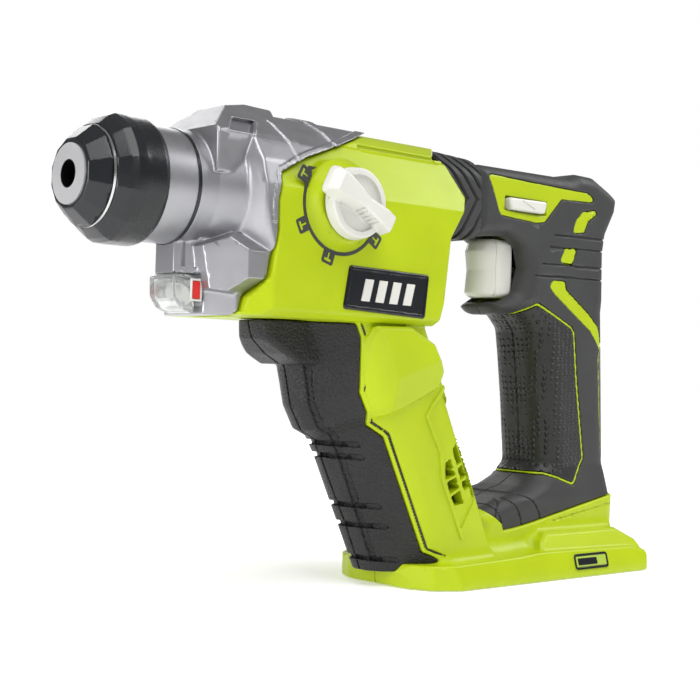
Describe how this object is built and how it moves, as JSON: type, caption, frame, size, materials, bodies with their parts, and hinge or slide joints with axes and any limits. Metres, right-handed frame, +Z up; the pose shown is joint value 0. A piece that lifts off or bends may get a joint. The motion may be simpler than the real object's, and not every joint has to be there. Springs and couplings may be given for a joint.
{
  "type": "rotary hammer",
  "caption": "Cordless rotary hammer with a quick-release chuck, gear housing, leaning motor column, D-shaped rear grip and a battery foot.",
  "frame": {"origin": "underside of the foot, between the motor column and the grip, in the middle of the width", "axes": "-X along the spindle towards the nose, +Z up from the foot, +Y to the user's right"},
  "size_m": [0.322, 0.0885, 0.2005],
  "materials": {
    "black_rubber": "soft satin rubber",
    "black_plastic": "semi-gloss moulded plastic",
    "bright_ring": "fine turned ring",
    "hard_steel": "ground steel",
    "polished_steel": "polished",
    "dark_steel": "black oxide",
    "spring_steel": "drawn wire",
    "cast_alloy": "fine satin casting",
    "alloy_piston": "machined",
    "clear_lens": "clear moulded lens",
    "lamp_red": "red lamp holder",
    "zinc_steel": "zinc plated",
    "copper": "wound copper and laminations",
    "carbon": "pressed carbon",
    "green_plastic": "satin moulded plastic",
    "column_rubber": "leather-grained rubber",
    "grip_rubber": "satin over-moulded rubber",
    "dial_print": "printed ring",
    "pale_plastic": "satin moulded plastic",
    "plate_black": "gloss plate without lettering",
    "badge_green": "small raised badge without lettering",
    "brass_contact": "plated contact"
  },
  "bodies": {
    "spindle": {"tool_holder": "hard_steel", "dust_cap": "black_rubber", "locking_balls": "polished_steel", "spring_seat": "hard_steel", "retaining_ring": "dark_steel", "sleeve_spring": "spring_steel", "spindle_gear": "hard_steel"},
    "sleeve": {"chuck_sleeve": "black_plastic", "accent_ring": "bright_ring"},
    "impact_bolt": {"impact_bolt": "hard_steel"},
    "striker": {"striker": "hard_steel"},
    "piston": {"piston": "alloy_piston"},
    "wobble": {"wobble_ring": "hard_steel"},
    "layshaft": {"layshaft": "hard_steel", "bevel_gear": "hard_steel"},
    "rotor": {"rotor_shaft": "hard_steel", "rotor_core": "copper", "commutator": "copper", "cooling_fan": "black_plastic", "motor_pinion": "hard_steel"},
    "mode_knob": {"mode_knob": "pale_plastic", "selector_cam": "zinc_steel"},
    "trigger": {"trigger": "pale_plastic"},
    "direction_button": {"direction_button": "pale_plastic"},
    "frame": {"neck_collar": "cast_alloy", "neck_seal": "black_rubber", "front_bearing": "polished_steel", "rear_bearing": "polished_steel", "layshaft_bearings": "polished_steel", "gear_housing": "cast_alloy", "gear_frame": "cast_alloy", "gear_case_screws": "dark_steel", "headlight_lens": "clear_lens", "led_module": "lamp_red", "motor_case": "zinc_steel", "motor_magnets": "dark_steel", "motor_mount": "black_plastic", "motor_bearings": "polished_steel", "brush_holder": "black_plastic", "carbon_brushes": "carbon", "left_housing": "green_plastic", "right_housing": "green_plastic", "housing_screws": "dark_steel", "front_overmold": "column_rubber", "grip_overmold": "grip_rubber", "bellows": "grip_rubber", "mode_dial": "dial_print", "trigger_spring": "spring_steel", "switch_module": "black_plastic", "left_plate": "plate_black", "right_plate": "plate_black", "foot_badges": "badge_green", "terminal_block": "black_plastic", "contact_blades": "brass_contact"}
  },
  "joints": [
    {"name": "spindle_spin", "type": "hinge", "parent": "frame", "child": "spindle", "pos_m": [-0.2, 0, 0.165], "axis": [1, 0, 0], "continuous": true},
    {"name": "layshaft_spin", "type": "hinge", "parent": "frame", "child": "layshaft", "pos_m": [-0.12, 0, 0.131], "axis": [1, 0, 0], "continuous": true},
    {"name": "motor_spin", "type": "hinge", "parent": "frame", "child": "rotor", "pos_m": [-0.1146, 0, 0.131], "axis": [0.4384, 0, -0.8988], "continuous": true},
    {"name": "sleeve_pull", "type": "slide", "parent": "spindle", "child": "sleeve", "axis": [1, 0, 0], "range_m": [0, 0.008], "stiffness_N_per_m": 1200, "springref_m": -0.003, "deforming": ["sleeve_spring"]},
    {"name": "bolt_slide", "type": "slide", "parent": "frame", "child": "impact_bolt", "axis": [1, 0, 0], "range_m": [-0.002, 0]},
    {"name": "striker_slide", "type": "slide", "parent": "frame", "child": "striker", "axis": [1, 0, 0], "range_m": [-0.004, 0.002]},
    {"name": "wobble_swing", "type": "hinge", "parent": "frame", "child": "wobble", "pos_m": [-0.086, 0, 0.131], "axis": [0, 1, 0], "range_deg": [-12, 12]},
    {"name": "piston_stroke", "type": "slide", "parent": "frame", "child": "piston", "axis": [1, 0, 0], "range_m": [-0.0072, 0.0072]},
    {"name": "mode_turn", "type": "hinge", "parent": "frame", "child": "mode_knob", "pos_m": [-0.133, -0.04, 0.162], "axis": [0, -1, 0], "range_deg": [0, 180]},
    {"name": "trigger_pull", "type": "slide", "parent": "frame", "child": "trigger", "axis": [1, 0, 0], "range_m": [0, 0.006], "stiffness_N_per_m": 600, "springref_m": -0.004, "deforming": ["trigger_spring"]},
    {"name": "direction_push", "type": "slide", "parent": "frame", "child": "direction_button", "axis": [0, 1, 0], "range_m": [-0.003, 0.003]}
  ],
  "couplings": [
    {"joint": "layshaft_spin", "follows": "spindle_spin", "ratio": -3.25},
    {"joint": "motor_spin", "follows": "spindle_spin", "ratio": 8.125},
    {"joint": "piston_stroke", "follows": "wobble_swing", "m_per_rad": 0.034}
  ]
}
